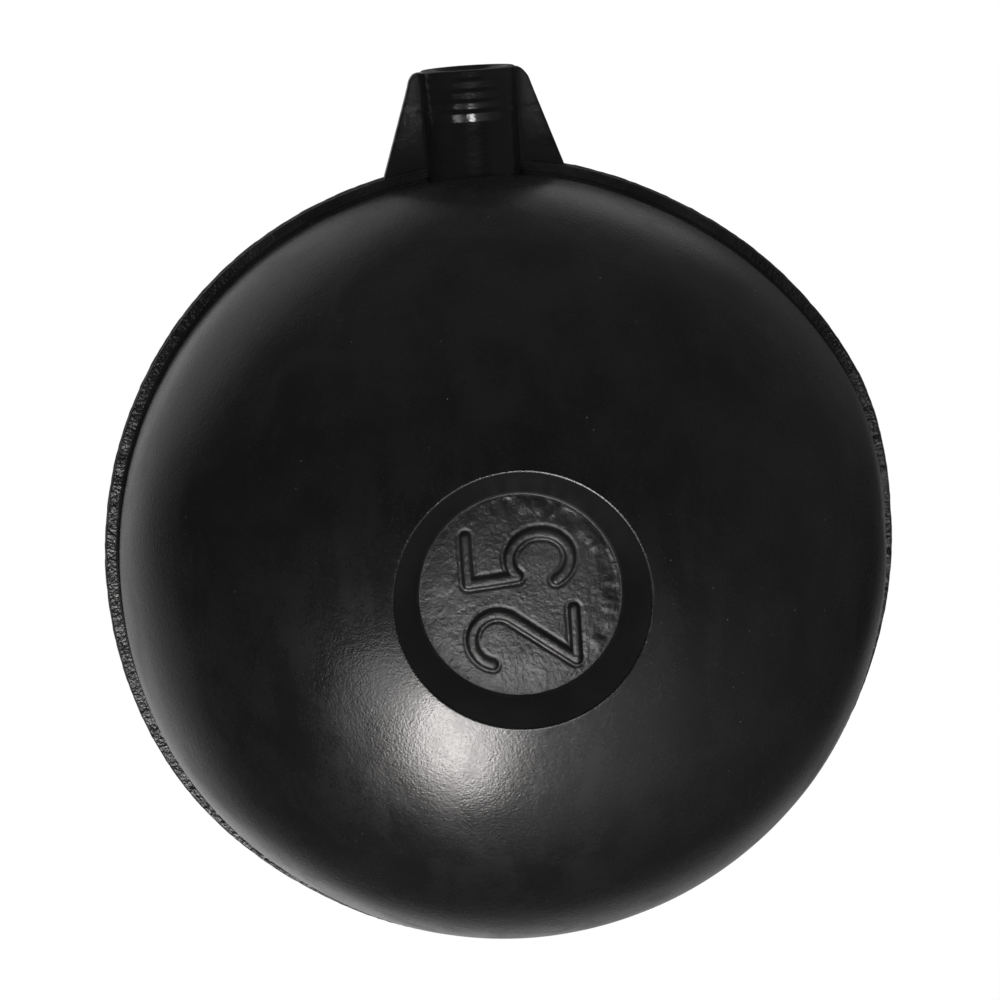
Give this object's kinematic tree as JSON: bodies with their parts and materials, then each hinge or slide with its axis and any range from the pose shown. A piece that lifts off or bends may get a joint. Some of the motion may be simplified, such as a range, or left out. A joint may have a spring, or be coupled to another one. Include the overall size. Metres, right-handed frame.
{
  "type": "ball float",
  "caption": "Hollow black plastic ball float with a welded seam flange, a recess at each pole and a threaded neck for the valve's arm.",
  "frame": {"origin": "centre of the neck's mouth, on the axis of the threaded socket", "axes": "+Z along the socket's axis, out of the mouth and away from the ball; the seam lies in the XZ plane; -Y towards the front half"},
  "size_m": [0.09, 0.0834, 0.0999],
  "materials": {
    "shell_plastic": "black polypropylene, glossy from the mould with fine orange peel, hazy scuffs and small pits; rough spark-eroded floor in the recess",
    "neck_plastic": "black polypropylene, glossy, with ridges round the upper part",
    "bead_plastic": "black polypropylene squeezed out of the weld, rough and finely wrinkled across"
  },
  "bodies": {
    "root": {"front_shell": "shell_plastic", "rear_shell": "shell_plastic", "threaded_neck": "neck_plastic", "outer_weld_bead": "bead_plastic", "inner_weld_bead": "bead_plastic"}
  },
  "joints": []
}
